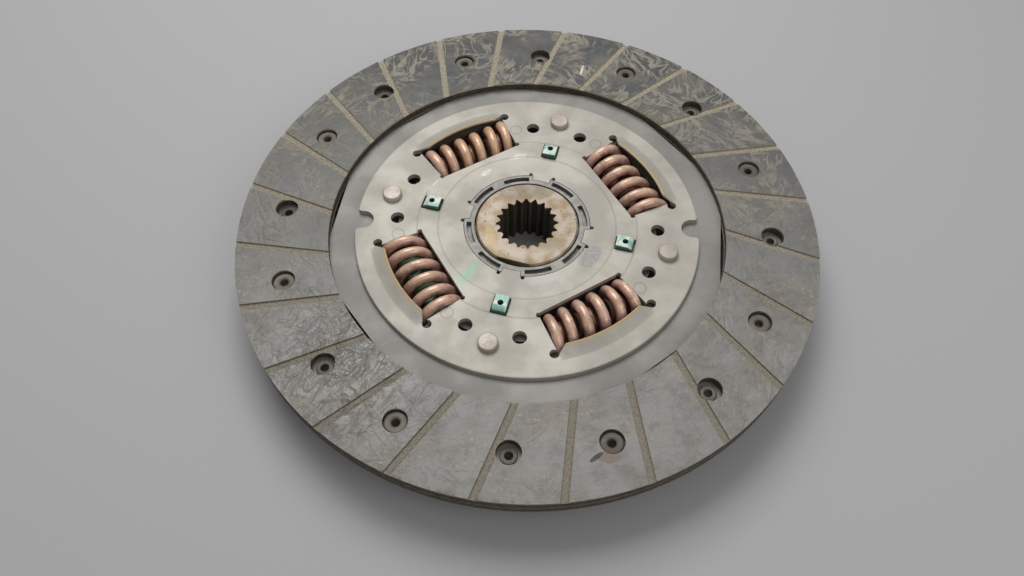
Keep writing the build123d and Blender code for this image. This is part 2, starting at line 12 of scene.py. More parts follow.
import bpy
import numpy as np
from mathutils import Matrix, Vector


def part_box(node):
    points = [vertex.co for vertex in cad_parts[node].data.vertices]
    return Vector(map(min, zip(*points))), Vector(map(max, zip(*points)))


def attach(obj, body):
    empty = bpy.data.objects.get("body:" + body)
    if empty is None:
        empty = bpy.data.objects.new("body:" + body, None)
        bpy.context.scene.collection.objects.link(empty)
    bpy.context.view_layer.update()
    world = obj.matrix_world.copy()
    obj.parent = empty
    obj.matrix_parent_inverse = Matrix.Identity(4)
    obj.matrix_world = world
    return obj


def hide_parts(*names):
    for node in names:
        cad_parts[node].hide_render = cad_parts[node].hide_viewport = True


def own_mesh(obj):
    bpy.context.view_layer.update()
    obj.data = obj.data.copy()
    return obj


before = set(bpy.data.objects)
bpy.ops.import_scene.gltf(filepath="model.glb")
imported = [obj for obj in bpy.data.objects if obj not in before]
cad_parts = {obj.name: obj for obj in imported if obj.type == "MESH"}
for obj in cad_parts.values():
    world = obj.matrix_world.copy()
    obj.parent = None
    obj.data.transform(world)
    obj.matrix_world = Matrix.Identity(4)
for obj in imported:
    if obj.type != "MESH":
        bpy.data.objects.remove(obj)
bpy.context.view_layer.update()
mm = 0.001
disc_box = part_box("facing_top")
rim_r = (disc_box[1].x - disc_box[0].x) / 2 / mm
facing_top_z = disc_box[1].z / mm
print("disc radius", round(rim_r, 2), "mm, facing height", round(facing_top_z, 2), "mm")

# %% [markdown]
# ## The camera
# The disc is seen from the front and a little over 50 degrees above the horizon, from
# about 320 mm away, so the near side looks clearly larger than the far side. A wide lens
# from close by gives that; a long lens from far away would flatten it.

# %% The camera
CAMERA_PLACE = (0.8, -208.3, 295.3)
CAMERA_TURN = (32.869, -0.043, 2.000)
LENS = 28.70
SENSOR = 36.0

bpy.ops.object.camera_add(
    location=[v * mm for v in CAMERA_PLACE],
    rotation=[math.radians(a) for a in CAMERA_TURN],
)
camera = bpy.context.object
camera.name = "camera"
camera.data.lens = LENS
camera.data.sensor_width = SENSOR
camera.data.clip_start = 10 * mm
bpy.context.scene.camera = camera
bpy.context.scene.view_settings.view_transform = "Standard"
print("camera", CAMERA_PLACE, "lens", LENS)

# %% [markdown]
# ## Light and floor
# Workshop light comes from wide ceiling panels, so shadows are soft and bare metal
# shows long pale reflections. One large panel behind the disc and a weaker one at the
# front left give that, with a pale world that fills the shadows. The floor is plain and
# keeps only the disc's shadow.


# %% Colours, and one function that adds a node
def linear(hex_colour):
    """Turns an sRGB hex colour into the linear numbers that a shader takes."""
    parts = [int(hex_colour[i:i + 2], 16) / 255 for i in (1, 3, 5)]
    rgb = [c / 12.92 if c <= 0.04045 else ((c + 0.055) / 1.055) ** 2.4 for c in parts]
    return (*rgb, 1.0)


def add(tree, kind, inputs=None, **settings):
    """Adds a node. An input takes a number, a colour, a socket or another node's first output."""
    made = tree.nodes.new("ShaderNode" + kind)
    for name, value in settings.items():
        setattr(made, name, value)
    for name, value in (inputs or {}).items():
        if isinstance(value, bpy.types.Node):
            value = value.outputs[0]
        if isinstance(value, bpy.types.NodeSocket):
            tree.links.new(value, made.inputs[name])
        else:
            made.inputs[name].default_value = value
    return made


# %% The world and the lamps
WORLD_HIGH = "#F4F5F7"
WORLD_LOW = "#8E8C89"
WORLD_STRENGTH = 0.38

world = bpy.data.worlds.new("workshop_air")
bpy.context.scene.world = world
world.use_nodes = True
tree = world.node_tree
tree.nodes.clear()
way = add(tree, "TexCoord")
height = add(tree, "SeparateXYZ", {0: way.outputs["Generated"]})
share = add(tree, "MapRange", {0: height.outputs["Z"], 1: -0.2, 2: 0.9})
sky = add(tree, "Mix", {0: share, 6: linear(WORLD_LOW), 7: linear(WORLD_HIGH)}, data_type="RGBA")
air = add(tree, "Background", {"Color": sky.outputs[2], "Strength": WORLD_STRENGTH})
seen = add(tree, "Background", {"Color": linear("#DADADA"), "Strength": 1.0})
path = add(tree, "LightPath")
choice = add(tree, "MixShader", {0: path.outputs["Is Camera Ray"], 1: air, 2: seen})
add(tree, "OutputWorld", {"Surface": choice})

# name, place in mm, width in mm, power in W
PANELS = [
    ("back_panel", (-120, 400, 760), 520, 4.9),
    ("front_panel", (480, -420, 620), 500, 1.25),
]
for name, place, width, power in PANELS:
    bpy.ops.object.light_add(type="AREA", location=[v * mm for v in place])
    lamp = bpy.context.object
    lamp.name = name
    lamp.data.shape = "SQUARE"
    lamp.data.size = width * mm
    lamp.data.energy = power
    lamp.rotation_euler = (-Vector(place)).to_track_quat("-Z", "Y").to_euler()

bpy.ops.mesh.primitive_plane_add(size=3.0)
floor = bpy.context.object
floor.name = "floor"
paint = bpy.data.materials.new("pale_floor_paint")
paint.use_nodes = True
shader = paint.node_tree.nodes["Principled BSDF"]
shader.inputs["Base Color"].default_value = linear("#B0B0B0")
shader.inputs["Roughness"].default_value = 0.7
floor.data.materials.append(paint)
print("lamps", [name for name, *_ in PANELS])

# %% [markdown]
# ## Patterns in millimetres
# Every finish below starts from the surface's place in millimetres, and some also
# take its distance from the shaft. A pattern written on them keeps its real size, and
# rings come out centred on the shaft.


# %% A material with its places in millimetres
def finish_for(name, roughness, metallic=0.0, specular=0.5):
    """Starts a material. Returns it, its tree, its shader and the surface's place in mm."""
    made = bpy.data.materials.new(name)
    made.use_nodes = True
    tree = made.node_tree
    shader = tree.nodes["Principled BSDF"]
    shader.inputs["Roughness"].default_value = roughness
    shader.inputs["Metallic"].default_value = metallic
    shader.inputs["Specular IOR Level"].default_value = specular
    coords = add(tree, "TexCoord")
    place = add(tree, "VectorMath", {0: coords.outputs["Object"], "Scale": 1 / mm}, operation="SCALE")
    return made, tree, shader, place


def patches(tree, place, size, low=0.4, high=0.6, detail=3.0, roughness=0.55):
    """A mask from 0 to 1 made of soft patches about size mm across."""
    settings = {"Vector": place, "Scale": 1 / size, "Detail": detail, "Roughness": roughness}
    noise = add(tree, "TexNoise", settings)
    return add(tree, "MapRange", {0: noise, 1: low, 2: high}, interpolation_type="SMOOTHSTEP")


def blended(tree, share, colour_a, colour_b):
    """Two colours mixed by a share from 0 to 1. Each is a hex text or a socket."""
    a = linear(colour_a) if isinstance(colour_a, str) else colour_a
    b = linear(colour_b) if isinstance(colour_b, str) else colour_b
    return add(tree, "Mix", {0: share, 6: a, 7: b}, data_type="RGBA").outputs[2]


def relief(tree, shader, height, depth):
    """Joins a height pattern to the shader as bumps depth mm high."""
    bump = add(tree, "Bump", {"Strength": 1.0, "Distance": depth * mm, "Height": height})
    tree.links.new(bump.outputs[0], shader.inputs["Normal"])
    return bump


# %% [markdown]
# ## Friction lining
# The facings are yarn soaked in resin, wound and pressed flat. Wear opens the surface
# along the strands: creases under a millimetre wide and about a centimetre long, lying
# at all angles, polished between and full of brown dust. A crease is drawn where a
# stretched noise crosses its middle value. One such noise would look combed, so the
# surface is split into cells that each turn it their own way, and two layers cross.
# The near side is worn almost smooth, and one patch at the left is crumpled and shiny.


# %% Creases of the lining
def creases(tree, place, shift, width):
    """Thin curved lines at all angles. Returns the line mask and the soft swell under it."""
    moved = add(tree, "VectorMath", {0: place, 1: (shift, -shift, 0)}, operation="ADD")
    drift = add(tree, "TexNoise", {"Vector": moved, "Scale": 1 / 12, "Detail": 1.0})
    centred = add(tree, "VectorMath", {0: drift.outputs[1], 1: (0.5, 0.5, 0.5)}, operation="SUBTRACT")
    pushed = add(tree, "VectorMath", {0: centred, "Scale": 7.0}, operation="SCALE")
    warped = add(tree, "VectorMath", {0: moved, 1: pushed}, operation="ADD")
    cells = add(tree, "TexVoronoi", {"Vector": warped, "Scale": 1 / 15})
    chance = add(tree, "SeparateColor", {0: cells.outputs["Color"]})
    angle = add(tree, "Math", {0: chance.outputs[0], 1: math.pi}, operation="MULTIPLY")
    turned = add(tree, "VectorRotate", {"Vector": warped, "Angle": angle}, rotation_type="Z_AXIS")
    strand = add(tree, "VectorMath", {0: turned, 1: (1 / 4.6, 1 / 20, 1 / 20)}, operation="MULTIPLY")
    swell = add(tree, "TexNoise", {"Vector": strand, "Scale": 1.0, "Detail": 2.0, "Distortion": 0.15})
    side = add(tree, "Math", {0: swell, 1: 0.5}, operation="SUBTRACT")
    off = add(tree, "Math", {0: side}, operation="ABSOLUTE")
    line = add(tree, "MapRange", {0: off, 1: 0.0, 2: width, 3: 1.0, 4: 0.0},
               interpolation_type="SMOOTHSTEP")
    return line, swell


def near_spot(tree, place, spot, reach):
    """A mask that is 1 at a spot and falls to 0 at reach mm from it."""
    away = add(tree, "VectorMath", {0: place, 1: spot}, operation="DISTANCE")
    return add(tree, "MapRange", {0: away.outputs[1], 1: 0.0, 2: reach, 3: 1.0, 4: 0.0},
               interpolation_type="SMOOTHSTEP")


def steep(tree):
    """A mask that is 1 on walls and 0 on level faces."""
    facing = add(tree, "NewGeometry")
    normal = add(tree, "SeparateXYZ", {0: facing.outputs["True Normal"]})
    tilt = add(tree, "Math", {0: normal.outputs["Z"]}, operation="ABSOLUTE")
    return add(tree, "Math", {0: tilt, 1: 0.5}, operation="LESS_THAN")


# %% Friction lining
SMOOTH_SIDE = (35, -120, 20)
CRUMPLED_PATCH = (-66, -70, 17)
TORN_RIM = (-22, -118, 24)
GROOVE_DEPTH = 0.9


def friction_lining(name, top_z, up):
    """Pressed yarn and resin. top_z is the grooved face's height and up is 1 or -1."""
    made, tree, shader, place = finish_for(name, 0.5)
    line_a, swell = creases(tree, place, 0, 0.08)
    line_b, _ = creases(tree, place, 137, 0.05)
    lines = add(tree, "Math", {0: line_a, 1: line_b}, operation="MAXIMUM")
    smooth = near_spot(tree, place, SMOOTH_SIDE, 130)
    open_part = add(tree, "MapRange", {0: smooth, 3: 1.0, 4: 0.12})
    patchy = patches(tree, place, 20, 0.36, 0.56)
    kept = add(tree, "Math", {0: open_part, 1: patchy}, operation="MULTIPLY")
    crease = add(tree, "Math", {0: lines, 1: kept}, operation="MULTIPLY")

    crumple = near_spot(tree, place, CRUMPLED_PATCH, 48)
    swelling = add(tree, "Math", {0: crumple, 1: 1.2, 2: 0.9}, operation="MULTIPLY_ADD")
    rise = add(tree, "Math", {0: swell, 1: swelling}, operation="MULTIPLY")
    slant = add(tree, "VectorRotate", {"Vector": place, "Angle": 0.6}, rotation_type="Z_AXIS")
    squeezed = add(tree, "VectorMath", {0: slant, 1: (1 / 4.5, 1 / 9, 1 / 9)}, operation="MULTIPLY")
    ripple = add(tree, "TexNoise", {"Vector": squeezed, "Scale": 1.0, "Detail": 2.0, "Distortion": 0.9})
    rippled = add(tree, "Math", {0: crumple, 1: 8.0}, operation="MULTIPLY")
    raised = add(tree, "Math", {0: ripple, 1: rippled, 2: rise}, operation="MULTIPLY_ADD")
    grit = add(tree, "TexNoise", {"Vector": place, "Scale": 1 / 0.7, "Detail": 3.0})
    rough = add(tree, "Math", {0: grit, 1: 0.22, 2: raised}, operation="MULTIPLY_ADD")
    height = add(tree, "Math", {0: crease, 1: -0.35, 2: rough}, operation="MULTIPLY_ADD")
    relief(tree, shader, height, 0.5)

    parts = add(tree, "SeparateXYZ", {0: place})
    back = add(tree, "MapRange", {0: parts.outputs["Y"], 1: -60.0, 2: 90.0})
    cloud = patches(tree, place, 15, 0.4, 0.62)
    # Both colours grow paler towards the front: partly real wear, partly painted sheen standing in for the
    # gloss the lamps give the near side.
    clean = blended(tree, back, "#8C8A86", "#3D4044")
    browned_with_front_sheen = blended(tree, back, "#837F79", "#524F4A")
    clouded_with_front_sheen = blended(tree, cloud, clean, browned_with_front_sheen)
    dusty = add(tree, "MapRange", {0: back, 3: 0.08, 4: 1.0})
    in_crease = add(tree, "Math", {0: crease, 1: dusty}, operation="MULTIPLY")
    film = patches(tree, place, 24, 0.5, 0.7, detail=5)
    thin = add(tree, "Math", {0: film, 1: 0.35}, operation="MULTIPLY")
    dust = add(tree, "Math", {0: in_crease, 1: thin}, operation="MAXIMUM")
    dusted = blended(tree, dust, clouded_with_front_sheen, "#979181")
    fleck = patches(tree, place, 1.4, 0.54, 0.68, detail=6)
    where = patches(tree, place, 24, 0.42, 0.6)
    front = add(tree, "Math", {0: 1.0, 1: back}, operation="SUBTRACT")
    here = add(tree, "Math", {0: where, 1: front}, operation="MULTIPLY")
    flecked = add(tree, "Math", {0: fleck, 1: here}, operation="MULTIPLY")
    tanned = blended(tree, flecked, dusted, "#A69881")
    stain = patches(tree, place, 7, 0.46, 0.64, detail=6, roughness=0.7)
    faint = add(tree, "Math", {0: stain, 1: 0.4}, operation="MULTIPLY")
    face = blended(tree, faint, tanned, "#5E5D59")

    level = add(tree, "Math", {0: parts.outputs["Z"], 1: up}, operation="MULTIPLY")
    sunk = add(tree, "Math", {0: level, 1: up * top_z - 0.3}, operation="LESS_THAN")
    grains = patches(tree, place, 0.9, 0.38, 0.6)
    near_tan = blended(tree, grains, "#787266", "#8A8374")
    far_tan = blended(tree, grains, "#8D8575", "#A9A08C")
    groove = blended(tree, back, near_tan, far_tan)
    wall = steep(tree)
    shallow = add(tree, "Math", {0: level, 1: up * top_z - GROOVE_DEPTH}, operation="GREATER_THAN")
    bare = blended(tree, grains, "#3A342E", "#5C5247")
    # Groove walls take the dust colour, made paler towards the back as painted light against their shade;
    # deeper walls keep the dark bare colour.
    wall_colour_with_painted_light = blended(tree, shallow, bare, blended(tree, back, near_tan, "#C0B59D"))
    floor_colour = blended(tree, sunk, face, groove)
    flat = add(tree, "VectorMath", {0: place, 1: (1, 1, 0)}, operation="MULTIPLY")
    radius = add(tree, "VectorMath", {0: flat}, operation="LENGTH")
    edge = add(tree, "MapRange", {0: radius.outputs[1], 1: rim_r - 1.6, 2: rim_r - 0.4})
    chipped = patches(tree, place, 4, 0.5, 0.58, detail=4)
    torn_side = near_spot(tree, place, TORN_RIM, 60)
    torn = add(tree, "Math", {0: torn_side, 1: chipped}, operation="MULTIPLY")
    frayed = add(tree, "Math", {0: edge, 1: torn}, operation="MULTIPLY")
    topside = blended(tree, frayed, floor_colour, "#6E6557")
    tree.links.new(blended(tree, wall, topside, wall_colour_with_painted_light), shader.inputs["Base Color"])

    polish = add(tree, "MapRange", {0: crumple, 3: 0.50, 4: 0.28})
    dulled = add(tree, "Math", {0: dust, 1: 0.3, 2: polish}, operation="MULTIPLY_ADD")
    matt = add(tree, "Math", {0: sunk, 1: wall}, operation="MAXIMUM")
    sheen = add(tree, "Mix", {0: matt, 2: dulled, 3: 0.85})
    tree.links.new(sheen.outputs[0], shader.inputs["Roughness"])
    return made


# %% [markdown]
# ## Bare sheet steel
# The cover plates are stamped from rolled sheet and left bare, so they go matt and warm
# with age. What shows is a soft mottling a few centimetres wide, fine scratches where
# the disc was handled, and a golden rim where each lip is rubbed by its spring.


# %% Bare sheet steel
def sheet_steel(name, pale, dark, bloom, roughness=0.55, metallic=0.2, rubbed=None, dinted=0.0):
    """Rolled sheet, greyed by use: golden above the height rubbed (mm), hammered if dinted."""
    made, tree, shader, place = finish_for(name, roughness, metallic)
    cloud = patches(tree, place, 22, 0.36, 0.66, detail=4)
    body = blended(tree, cloud, dark, pale)
    stain = patches(tree, place, 9, 0.56, 0.74, detail=6, roughness=0.65)
    thin = add(tree, "Math", {0: stain, 1: 0.45}, operation="MULTIPLY")
    stained = blended(tree, thin, body, bloom)
    slant = add(tree, "VectorRotate", {"Vector": place, "Angle": 0.9}, rotation_type="Z_AXIS")
    long_way = add(tree, "VectorMath", {0: slant, 1: (1 / 0.4, 1 / 5, 1 / 0.4)}, operation="MULTIPLY")
    hair = add(tree, "TexNoise", {"Vector": long_way, "Scale": 1.0, "Detail": 2.0, "Distortion": 1.5})
    fine = add(tree, "MapRange", {0: hair, 1: 0.6, 2: 0.74, 4: 0.4}, interpolation_type="SMOOTHSTEP")
    where = patches(tree, place, 16, 0.54, 0.66)
    scratch = add(tree, "Math", {0: fine, 1: where}, operation="MULTIPLY")
    colour = blended(tree, scratch, stained, "#D0CCC3")
    if rubbed is not None:
        parts = add(tree, "SeparateXYZ", {0: place})
        high = add(tree, "MapRange", {0: parts.outputs["Z"], 1: rubbed, 2: rubbed + 0.5})
        colour = blended(tree, high, colour, "#B8A27C")
    tree.links.new(colour, shader.inputs["Base Color"])
    grain = add(tree, "TexNoise", {"Vector": place, "Scale": 1 / 0.5, "Detail": 3.0})
    dents = add(tree, "TexNoise", {"Vector": place, "Scale": 1 / 6, "Detail": 2.0})
    height = add(tree, "Math", {0: grain, 1: 0.3, 2: dents}, operation="MULTIPLY_ADD")
    blows = add(tree, "TexNoise", {"Vector": place, "Scale": 1 / 1.1, "Detail": 2.0})
    hammered = add(tree, "Math", {0: blows, 1: dinted, 2: height}, operation="MULTIPLY_ADD")
    relief(tree, shader, hammered, 0.05)
    sheen = add(tree, "MapRange", {0: cloud, 3: roughness + 0.06, 4: roughness - 0.05})
    tree.links.new(sheen.outputs[0], shader.inputs["Roughness"])
    return made


# %% [markdown]
# ## Spring lacquer
# The springs are hard-drawn wire dipped in a thin coppery lacquer. Heat and dust have
# greyed it to a pinkish tan, paler where the crests have rubbed and browner in the
# hollows, and the faces turned up are painted paler still as painted highlight.


# %% Spring lacquer
TAN_SPRING = (-22.0, 44.0, 20.0)


def spring_lacquer(name, crest, hollow, rub, tan):
    """Thin half-matt lacquer over drawn wire, rubbed pale in patches, painted paler on faces turned up as
    painted highlight, and gone tan at one spring.
    """
    made, tree, shader, place = finish_for(name, 0.34, 0.2)
    cloud = patches(tree, place, 6, 0.38, 0.62, detail=4)
    body = blended(tree, cloud, hollow, crest)
    worn = patches(tree, place, 2.4, 0.5, 0.7, detail=5)
    # Painted highlight: faces turned up are made paler, along with patches of real rubbing.
    lying = add(tree, "NewGeometry")
    normal = add(tree, "SeparateXYZ", {0: lying.outputs["True Normal"]})
    top = add(tree, "MapRange", {0: normal.outputs["Z"], 1: 0.3, 2: 1.0, 4: 0.6})
    rubbed = add(tree, "Math", {0: worn, 1: 0.5, 2: top}, operation="MULTIPLY_ADD")
    rubbed_and_highlighted = blended(tree, rubbed, body, rub)
    tan_spot = near_spot(tree, place, TAN_SPRING, 34)
    tan_share = add(tree, "Math", {0: tan_spot, 1: 0.6}, operation="MULTIPLY")
    tanned = blended(tree, tan_share, rubbed_and_highlighted, tan)
    grime = patches(tree, place, 1.8, 0.56, 0.7, detail=6)
    grimy = add(tree, "Math", {0: grime, 1: 0.45}, operation="MULTIPLY")
    tree.links.new(blended(tree, grimy, tanned, hollow), shader.inputs["Base Color"])
    grain = add(tree, "TexNoise", {"Vector": place, "Scale": 1 / 0.9, "Detail": 3.0})
    relief(tree, shader, grain, 0.08)
    return made


# %% [markdown]
# ## Turned steel with a rust film
# The hub is turned bar, and the lathe leaves rings a few tenths of a millimetre apart.
# A thin film of rust has turned its face golden brown, darker in freckles, and grease
# has blackened the splines. The rings are a wave along the radius, so they are centred
# on the shaft by themselves.


# %% Turned steel with a rust film
def rusted_turning(name, pale, rust, freckle, grease, grime, bore):
    """Lathe-turned steel under a film of rust: outer walls painted dark as painted shade, and a greasy bore
    of this radius.
    """
    made, tree, shader, place = finish_for(name, 0.45, 0.3)
    film = patches(tree, place, 6, 0.36, 0.64, detail=5)
    body = blended(tree, film, rust, pale)
    spots = patches(tree, place, 1.5, 0.58, 0.72, detail=4)
    spotted = blended(tree, spots, body, freckle)
    flat = add(tree, "VectorMath", {0: place, 1: (1, 1, 0)}, operation="MULTIPLY")
    radius = add(tree, "VectorMath", {0: flat}, operation="LENGTH")
    inside = add(tree, "Math", {0: radius.outputs[1], 1: bore}, operation="LESS_THAN")
    # Outer walls take the dark grime colour as painted shade; walls inside the bore radius are greasy.
    wall = blended(tree, inside, grime, grease)
    tree.links.new(blended(tree, steep(tree), spotted, wall), shader.inputs["Base Color"])
    turns = add(tree, "Math", {0: radius.outputs[1], 1: 2 * math.pi / 0.7}, operation="MULTIPLY")
    rings = add(tree, "Math", {0: turns}, operation="SINE")
    grain = add(tree, "TexNoise", {"Vector": place, "Scale": 1 / 0.5, "Detail": 3.0})
    height = add(tree, "Math", {0: rings, 1: 0.1, 2: grain}, operation="MULTIPLY_ADD")
    relief(tree, shader, height, 0.06)
    return made


# %% [markdown]
# ## Moulded nylon
# The centring ring and the green lugs are injection-moulded nylon. It is not a metal:
# light sinks a little into it, and its gloss is soft and colourless. The tops are
# scuffed pale in patches, and the walls are painted dark as painted shade.


# %% Moulded nylon
def moulded_nylon(name, colour, scuffed, painted_wall_shade, roughness=0.45):
    """Injection-moulded nylon, scuffed pale in patches on top, with painted shade on its walls."""
    made, tree, shader, place = finish_for(name, roughness, 0.0)
    scuff = patches(tree, place, 3, 0.42, 0.6, detail=5)
    top = blended(tree, scuff, colour, scuffed)
    # The walls get a darker colour as painted shade.
    tree.links.new(blended(tree, steep(tree), top, painted_wall_shade), shader.inputs["Base Color"])
    grain = add(tree, "TexNoise", {"Vector": place, "Scale": 1 / 0.7, "Detail": 2.0})
    relief(tree, shader, grain, 0.04)
    return made


# %% Every finish by name
lip_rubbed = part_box("cover_plate_top")[1].z / mm - 0.55
top_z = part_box("facing_top")[1].z / mm
bottom_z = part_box("facing_bottom")[0].z / mm
finishes = {
    "lining_top": friction_lining("pressed_yarn_lining_top", top_z, 1),
    "lining_bottom": friction_lining("pressed_yarn_lining_bottom", bottom_z, -1),
    "plate": sheet_steel("bare_stamped_steel", "#B7B2A7", "#A7A298", "#A3937C", rubbed=lip_rubbed),
    "carrier": sheet_steel("rolled_spring_steel", "#8F8C86", "#83817C", "#7F7568", 0.55, 0.2),
    "flange": sheet_steel("blanked_steel", "#6F6B64", "#55514B", "#5B4836", 0.6),
    "pin": sheet_steel("hammered_rivet_steel", "#C9BFB2", "#A89D92", "#937C68", 0.45, dinted=5.0),
    "rivet": sheet_steel("tubular_rivet_steel", "#7C766B", "#5E584F", "#5E5141", 0.6),
    "washer": sheet_steel("hardened_washer_steel", "#8F8D88", "#6F6D69", "#6B5A48", 0.5),
    "lacquer": spring_lacquer("coppery_spring_lacquer", "#CFA090", "#946D62", "#EAC9AD", "#E0B588"),
    "green_lacquer": spring_lacquer("green_spring_lacquer", "#6A9F77", "#43734F", "#8DB58C", "#6A9F77"),
    # Painted shade: the inner springs, seen only between the outer coils, get a darker lacquer because they
    # lie in shade.
    "inner_shade_lacquer": spring_lacquer("painted_shade_spring_lacquer", "#7C5A4B", "#573D32", "#8E6C55", "#7C5A4B"),
    "wire": spring_lacquer("bright_drawn_wire", "#A9A7A2", "#8B8984", "#C5C2BB", "#A9A7A2"),
    "hub": rusted_turning(
        "rust_filmed_steel", "#A89C8C", "#8B7757", "#664E36", "#5A5046", "#5A4B3B", 13.3
    ),
    "grey_nylon": moulded_nylon("grey_nylon", "#8F8D85", "#A3A098", "#5F5C57", 0.5),
    "green_nylon": moulded_nylon("green_nylon", "#93BDAF", "#D6DDD2", "#4A6C5E", 0.35),
    "black_nylon": moulded_nylon("black_nylon", "#3A3936", "#5A5348", "#2A2826"),
}
print("finishes", len(finishes))

# %% [markdown]
# ## Marks of use
# The visible plate carries marks that a clean finish lacks: a stroke of green paint from
# the balancing bench, a grey smudge, pale scuffs, and five faint punch rings beside the
# windows. Two dark circles are painted shade along the edges of the flat band that the
# press raised. The face of the hub is grimy at the far side. The lining has one brown
# gouge by a rivet hole, and one bright sliver at the far side. Each is a small mask laid
# over the finish, in millimetres.


# %% Marks of use
def places(tree):
    """The surface's place in millimetres."""
    coords = add(tree, "TexCoord")
    return add(tree, "VectorMath", {0: coords.outputs["Object"], "Scale": 1 / mm}, operation="SCALE")


def lay_over(made, mask, colour):
    """Lays a colour over a finish where the mask is 1."""
    tree = made.node_tree
    socket = tree.nodes["Principled BSDF"].inputs["Base Color"]
    under = socket.links[0].from_socket
    tree.links.new(blended(tree, mask, under, colour), socket)


def stroke(tree, place, start, end, width, ragged=0.5):
    """A mask along a line from start to end, width mm across, with ragged edges."""
    length = math.dist(start, end)
    angle = math.atan2(end[1] - start[1], end[0] - start[0])
    middle = ((start[0] + end[0]) / 2, (start[1] + end[1]) / 2, 0)
    rough = add(tree, "TexNoise", {"Vector": place, "Scale": 1 / 1.4, "Detail": 3.0})
    shaken = add(tree, "VectorMath", {0: rough.outputs[1], "Scale": 2 * ragged}, operation="SCALE")
    moved = add(tree, "VectorMath", {0: place, 1: shaken}, operation="ADD")
    turned = add(tree, "VectorRotate", {"Vector": moved, "Center": middle, "Angle": -angle},
                 rotation_type="Z_AXIS")
    local = add(tree, "VectorMath", {0: turned, 1: middle}, operation="SUBTRACT")
    sized = add(tree, "VectorMath", {0: local, 1: (2 / length, 2 / width, 0)}, operation="MULTIPLY")
    size = add(tree, "VectorMath", {0: sized}, operation="LENGTH")
    return add(tree, "MapRange", {0: size.outputs[1], 1: 0.75, 2: 1.05, 3: 1.0, 4: 0.0},
               interpolation_type="SMOOTHSTEP")


PRESSED_BAND = (37.2, 46.0)
PLATE_TOP = 22.6
plate = finishes["plate"]
tree = plate.node_tree
place = places(tree)
worn_through = patches(tree, place, 1.1, 0.44, 0.56, detail=5)
for start, end, width, colour, share in [
    ((-17.8, -18.5), (-25.6, -31.0), 4.4, "#93BDA6", 0.55),
    ((31.5, -9.5), (23.5, -20.5), 8.0, "#969492", 0.75),
    ((16.0, -27.5), (3.0, -32.5), 5.0, "#A5A39E", 0.45),
    ((-19.5, 26.5), (-15.0, 31.0), 3.0, "#D4D1C9", 0.6),
    ((-42.0, 18.0), (-38.0, 24.0), 1.6, "#D4D1C9", 0.6),
    ((-7.5, 36.5), (0.5, 40.0), 2.6, "#D4D1C9", 0.6),
]:
    mask = stroke(tree, place, start, end, width, 1.2)
    thinned = add(tree, "Math", {0: worn_through, 1: share}, operation="MULTIPLY")
    part = add(tree, "Math", {0: thinned, 1: 0.35}, operation="ADD")
    lay_over(plate, add(tree, "Math", {0: mask, 1: part}, operation="MULTIPLY"), colour)
for x, y in [(-53.4, -7.0), (-6.3, 53.3), (29.6, 46.1), (-30.2, -44.5), (45.7, -30.4)]:
    away = add(tree, "VectorMath", {0: place, 1: (x, y, PLATE_TOP)}, operation="DISTANCE")
    off = add(tree, "Math", {0: away.outputs[1], 1: 2.5}, operation="SUBTRACT")
    near = add(tree, "Math", {0: off}, operation="ABSOLUTE")
    ring = add(tree, "MapRange", {0: near, 1: 0.1, 2: 0.4, 3: 0.55, 4: 0.0})
    lay_over(plate, ring, "#7D776C")

flat = add(tree, "VectorMath", {0: place, 1: (1, 1, 0)}, operation="MULTIPLY")
radius = add(tree, "VectorMath", {0: flat}, operation="LENGTH")
# Painted shade: a dark line along each edge of the pressed band.
for edge in PRESSED_BAND:
    off = add(tree, "Math", {0: radius.outputs[1], 1: edge}, operation="SUBTRACT")
    near = add(tree, "Math", {0: off}, operation="ABSOLUTE")
    ring = add(tree, "MapRange", {0: near, 1: 0.1, 2: 0.5, 3: 0.5, 4: 0.0})
    lay_over(plate, ring, "#857F74")

steel = finishes["hub"]
tree = steel.node_tree
place = places(tree)
for start, end, width, colour in [
    ((7.5, -12.0), (15.5, -9.5), 6.5, "#8D887C"),
    ((-15.5, -1.0), (-12.0, -13.5), 5.0, "#BCA06C"),
    ((-14.0, 17.5), (14.0, 18.5), 10.0, "#655C52"),
]:
    mask = stroke(tree, place, start, end, width, 1.0)
    lay_over(steel, add(tree, "Math", {0: mask, 1: 0.4}, operation="MULTIPLY"), colour)

lining = finishes["lining_top"]
tree = lining.node_tree
place = places(tree)
lay_over(lining, stroke(tree, place, (36.5, -101.5), (27.0, -102.0), 4.5), "#7E6F60")
lay_over(lining, stroke(tree, place, (29.6, -100.0), (24.4, -104.2), 1.9, 0.2), "#3E342B")
lay_over(lining, stroke(tree, place, (23.6, 88.6), (25.0, 96.0), 1.4, 0.3), "#D6D0C2")
print("marks laid over", plate.name, "and", lining.name)

# %% [markdown]
# ## Softening the stamped and turned pieces
# The frame's pieces have perfectly sharp edges, and real ones never do: a press or a
# lathe leaves a tenth or two of roundness, and that thin line catches the light. A copy
# of each piece has its loose triangles merged and its flat faces made whole, and then a
# Bevel modifier rounds only the edges that turn by more than 30 degrees.


# %% Soften a copy of a frame piece
def take_all_off():
    """Leaves nothing selected, so that an operator acts only on what comes next."""
    if bpy.context.object and bpy.context.object.mode != "OBJECT":
        bpy.ops.object.mode_set(mode="OBJECT")
    bpy.ops.object.select_all(action="DESELECT")


def pick(piece):
    """Selects one piece and makes it the active one."""
    take_all_off()
    piece.select_set(True)
    bpy.context.view_layer.objects.active = piece


